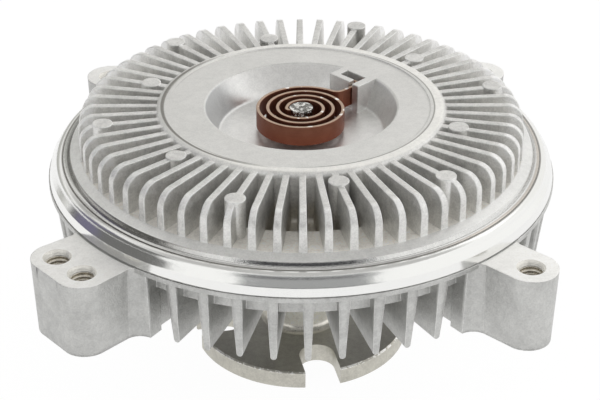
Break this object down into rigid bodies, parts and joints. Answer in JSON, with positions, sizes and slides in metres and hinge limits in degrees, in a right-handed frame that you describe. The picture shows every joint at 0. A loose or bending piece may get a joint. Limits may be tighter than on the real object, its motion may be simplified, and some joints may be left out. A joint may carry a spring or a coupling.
{
  "type": "viscous fan clutch",
  "caption": "Viscous fan clutch: finned aluminium housing on a flanged steel shaft, with threaded fan lugs and a bimetal coil in its cover that turns an oil valve.",
  "frame": {"origin": "centre of the drive flange's rear face, where the pilot bore opens and the clutch stands", "axes": "+Z along the shaft towards the coil; X and Y through the flange's stud slots"},
  "size_m": [0.1951, 0.1886, 0.0953],
  "materials": {
    "plated_steel": "turned and zinc-nickel plated, satin olive grey",
    "machined_aluminium": "machined",
    "bearing_steel": "ground",
    "cage_brass": "plain",
    "seal_rubber": "matt black",
    "spring_steel": "phosphated",
    "housing_casting": "fine as-cast grain, with a polished rolled rim and machined lug tops",
    "cover_casting": "fine as-cast grain on the fins, smoother on the plain face",
    "sheet_steel": "plain",
    "wiper_plastic": "moulded",
    "bimetal_strip": "rolled strip, copper brown",
    "valve_steel": "bright, with a crimped head"
  },
  "bodies": {
    "drive": {"drive_shaft": "plated_steel", "rotor_disc": "machined_aluminium", "bearing_inner_ring": "bearing_steel"},
    "housing": {"rear_housing": "housing_casting", "front_cover": "cover_casting", "cover_seal": "seal_rubber", "separator_plate": "sheet_steel", "separator_rivets": "sheet_steel", "pump_wiper": "wiper_plastic", "wiper_pin": "sheet_steel", "bearing_outer_ring": "bearing_steel", "bearing_seal_front": "seal_rubber", "bearing_seal_rear": "seal_rubber", "bearing_circlip": "spring_steel", "bimetal_coil": "bimetal_strip", "valve_shaft_seal": "seal_rubber"},
    "cage": {"bearing_balls": "bearing_steel", "ball_cage": "cage_brass"},
    "valve": {"valve_shaft": "valve_steel", "valve_arm": "sheet_steel"}
  },
  "joints": [
    {"name": "housing_spin", "type": "hinge", "parent": "drive", "child": "housing", "pos_m": [0, 0, 0.0545], "axis": [0, 0, 1], "continuous": true},
    {"name": "cage_spin", "type": "hinge", "parent": "drive", "child": "cage", "pos_m": [0, 0, 0.0545], "axis": [0, 0, 1], "continuous": true},
    {"name": "valve_turn", "type": "hinge", "parent": "housing", "child": "valve", "pos_m": [0, 0, 0.0805], "axis": [0, 0, 1], "range_deg": [0, 45], "stiffness_Nm_per_rad": 0.05, "deforming": ["bimetal_coil"]}
  ],
  "couplings": [
    {"joint": "cage_spin", "follows": "housing_spin", "ratio": 0.625}
  ]
}
